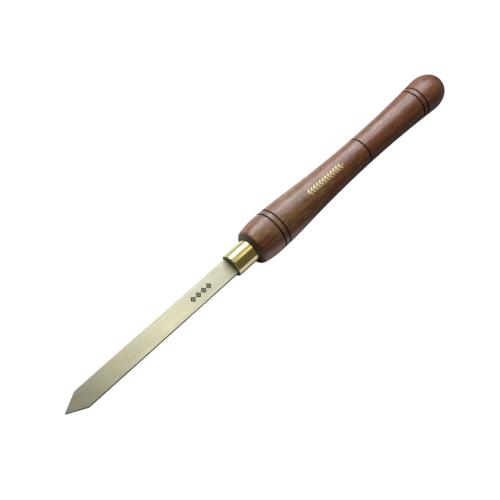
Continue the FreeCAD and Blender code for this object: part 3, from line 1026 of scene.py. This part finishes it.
def make_steel():
    material, shader, surface = new_material("ground_tool_steel")
    faces = shader.node("SeparateXYZ", {"Vector": shader.node("NewGeometry").outputs["Normal"]}).outputs
    on_bevel = shader.between(faces["X"], 0.10, 0.25)
    narrow_shade = shader.between(shader.math("ABSOLUTE", faces["Y"]), 0.70, 0.90, 0.0, NARROW_SHADE_SHARE)
    long_lines = shader.group(stretched_noise, along=30.0, across=1700.0, detail=4.0)["Value"]
    cross_lines = shader.group(stretched_noise, along=4200.0, across=60.0, detail=3.0)["Value"]
    lines = shader.node("Mix", {"Factor": on_bevel, "A": long_lines, "B": cross_lines}).outputs["Result"]
    smears = shader.group(handling_smears, size=0.016, seed=(0.9, 0.2, 0.6))["Mask"]
    clouds = shader.group(stretched_noise, along=70.0, across=260.0, detail=4.0, offset=(2, 2, 2))["Value"]
    stains = shader.between(clouds, 0.52, 0.75, 0.0, STAIN_SHARE)
    worn = shader.group(edge_wear, width=0.00035)["Mask"]
    colour = shader.mix(shader.between(lines, 0.35, 0.65, 0.0, LINE_SHARE), STEEL, STEEL_STAINED)
    colour = shader.mix(stains, colour, STEEL_STAINED)
    # painted shade on the faces that look sideways
    colour = shader.mix(narrow_shade, colour, STEEL_NARROW_SHADE)
    colour = shader.mix(shader.math("MULTIPLY", worn, WORN_SHARE), colour, STEEL_BRIGHT)
    shader.put(surface.inputs["Base Color"], colour)
    surface.inputs["Metallic"].default_value = STEEL_METAL
    rough = shader.math("MULTIPLY_ADD", smears, STEEL_SMEARED, STEEL_ROUGHNESS)
    shader.put(surface.inputs["Roughness"], shader.math("MULTIPLY_ADD", lines, STEEL_LINED, rough))
    shader.put(surface.inputs["Normal"], shader.bump(lines, LINE_DEPTH))
    return material


steel = make_steel()
print(steel.name, "has", len(steel.node_tree.nodes), "nodes")

# %% [markdown]
# ## Resin
# The resin that holds the tang shows as a dark disc in the ferrule's mouth. It set by itself, so it is
# slightly uneven: one noise drives its colour, its gloss and its relief together.

# %% Resin
RESIN_DARK, RESIN_LIGHT = (0.022, 0.016, 0.005, 1), (0.045, 0.033, 0.011, 1)
LUMP_DEPTH = 0.2 * MM


def make_resin():
    material, shader, surface = new_material("set_resin")
    lumps = shader.group(stretched_noise, along=500.0, across=500.0, detail=3.0)["Value"]
    shader.put(surface.inputs["Base Color"], shader.mix(lumps, RESIN_DARK, RESIN_LIGHT))
    shader.put(surface.inputs["Roughness"], shader.between(lumps, 0.3, 0.7, 0.25, 0.55))
    shader.put(surface.inputs["Normal"], shader.bump(lumps, LUMP_DEPTH))
    return material


resin_finish = make_resin()
print(resin_finish.name, "has", len(resin_finish.node_tree.nodes), "nodes")

# %% [markdown]
# ## Foil and etching
# Gold foil is thin pigment on lacquer, so it is pale and only partly metallic, and it is rubbed through in
# specks that show the wood's brown. The etched mark is dull black oxide that thins out here and there.

# %% Foil and etching
GOLD_FRESH, GOLD_WORN = (0.86, 0.75, 0.42, 1), (0.66, 0.53, 0.25, 1)
RUBBED_THROUGH = (0.18, 0.09, 0.04, 1)
OXIDE_THICK, OXIDE_THIN = (0.012, 0.011, 0.009, 1), (0.045, 0.042, 0.036, 1)
FOIL_METAL = 0.4


def make_foil():
    material, shader, surface = new_material("gold_foil")
    specks = shader.group(stretched_noise, along=1500.0, across=2600.0, detail=2.0)["Value"]
    rubbed = shader.between(specks, 0.60, 0.72)
    worn = shader.group(handling_smears, size=0.006, seed=(0.3, 0.3, 0.9))["Mask"]
    gold = shader.mix(shader.math("MULTIPLY", worn, 0.35), GOLD_FRESH, GOLD_WORN)
    shader.put(surface.inputs["Base Color"], shader.mix(rubbed, gold, RUBBED_THROUGH))
    shader.put(surface.inputs["Metallic"], shader.math("MULTIPLY_ADD", rubbed, -FOIL_METAL, FOIL_METAL))
    shader.put(surface.inputs["Roughness"], shader.between(specks, 0.3, 0.7, 0.35, 0.55))
    return material


def make_etching():
    material, shader, surface = new_material("etched_oxide")
    specks = shader.group(stretched_noise, along=1200.0, across=2400.0, detail=3.0)["Value"]
    thin = shader.between(specks, 0.55, 0.75)
    shader.put(surface.inputs["Base Color"], shader.mix(thin, OXIDE_THICK, OXIDE_THIN))
    shader.put(surface.inputs["Metallic"], shader.math("MULTIPLY", thin, 0.3))
    surface.inputs["Specular IOR Level"].default_value = 0.15
    shader.put(surface.inputs["Roughness"], shader.between(specks, 0.3, 0.7, 0.45, 0.65))
    return material


foil, etching = make_foil(), make_etching()
print(foil.name, "and", etching.name)

# %% [markdown]
# ## Finishes onto pieces
# Each new piece gets one material and rides on the tool's one body. Three of them stand in for the frame's
# own pieces. The resin keeps the frame's shape, so only its slot is filled.

# %% Assign, ride and replace
def finish_with(piece, material):
    piece.data.materials.clear()
    piece.data.materials.append(material)


for piece, material in ((handle, wood), (ferrule, brass), (blade, steel), (sprig, foil), (mark, etching)):
    finish_with(piece, material)
    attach(piece, "root")
    print(piece.name, "is finished with", material.name)

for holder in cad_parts["tang_adhesive"].material_slots:
    holder.material = resin_finish

for piece, node, slot_name in ((handle, "handle", "handle_wood"), (ferrule, "ferrule", "ferrule_brass"),
                               (blade, "blade", "blade_steel")):
    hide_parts(node)

# %% [markdown]
# ## The table
# White paper under the tool. The camera sees it glow evenly, so that it stays clean. To everything else it
# is dark, like paper in the tool's own shade, apart from a bright strip on each side, beyond the shadow,
# where the lamps reach it. Plain paper under the same lamps would do much the same, but its shadows would
# show. The strips are what lights the tool's lower edges. They are weaker towards the butt.

# %% Strips of bounced light
LEFT_NEAR = (-10 * MM, -30 * MM)         # dark at the first place, full at the second
LEFT_ALONG = (-260 * MM, -170 * MM)
LEFT_STRENGTH = (0.25, 1.7)              # on the butt's side of those places, and on the point's side
RIGHT_NEAR = (12 * MM, 45 * MM)
RIGHT_FAR = (300 * MM, 140 * MM)
RIGHT_ALONG = (-90 * MM, -30 * MM)
RIGHT_STRENGTH = (0.12, 1.5)
BOUNCE = 0.46
SHADE = 0.01                             # what is left close to the tool


def bounced_light(shader):
    place = shader.node("SeparateXYZ", {"Vector": shader.node("TexCoord").outputs["Object"]}).outputs
    along, aside = place["X"], place["Y"]
    left = shader.math("MULTIPLY", shader.between(aside, *LEFT_NEAR),
                       shader.between(along, *LEFT_ALONG, *LEFT_STRENGTH))
    right = shader.math("MULTIPLY", shader.between(aside, *RIGHT_NEAR), shader.between(aside, *RIGHT_FAR))
    right = shader.math("MULTIPLY", right, shader.between(along, *RIGHT_ALONG, *RIGHT_STRENGTH))
    return shader.math("MULTIPLY_ADD", shader.math("ADD", left, right), BOUNCE, SHADE)


print("the strips glow", [round(share * BOUNCE + SHADE, 3) for share in LEFT_STRENGTH + RIGHT_STRENGTH])

# %% Table
PAPER_COLOUR = (0.15, 0.15, 0.15, 1)
TABLE_REACH = 4.0


def make_table():
    bm = bmesh.new()
    bmesh.ops.create_grid(bm, x_segments=4, y_segments=4, size=TABLE_REACH)
    for vertex in bm.verts:
        vertex.co.z = CAD_BOX[0].z
    table = finish_mesh("table_paper", bm)
    material, shader, surface = new_material("white_paper")
    surface.inputs["Base Color"].default_value = PAPER_COLOUR
    surface.inputs["Roughness"].default_value = 0.9
    surface.inputs["Specular IOR Level"].default_value = 0.1
    surface.inputs["Emission Color"].default_value = (1, 1, 1, 1)
    seen = shader.node("LightPath").outputs["Is Camera Ray"]
    shader.put(surface.inputs["Emission Strength"], shader.math("MAXIMUM", seen, bounced_light(shader)))
    finish_with(table, material)
    return table


table = make_table()
print(table.name, "at", round(CAD_BOX[0].z / MM, 1), "mm")

# %% [markdown]
# ## Sizes
# The finished model has to be the size of the engineering model.
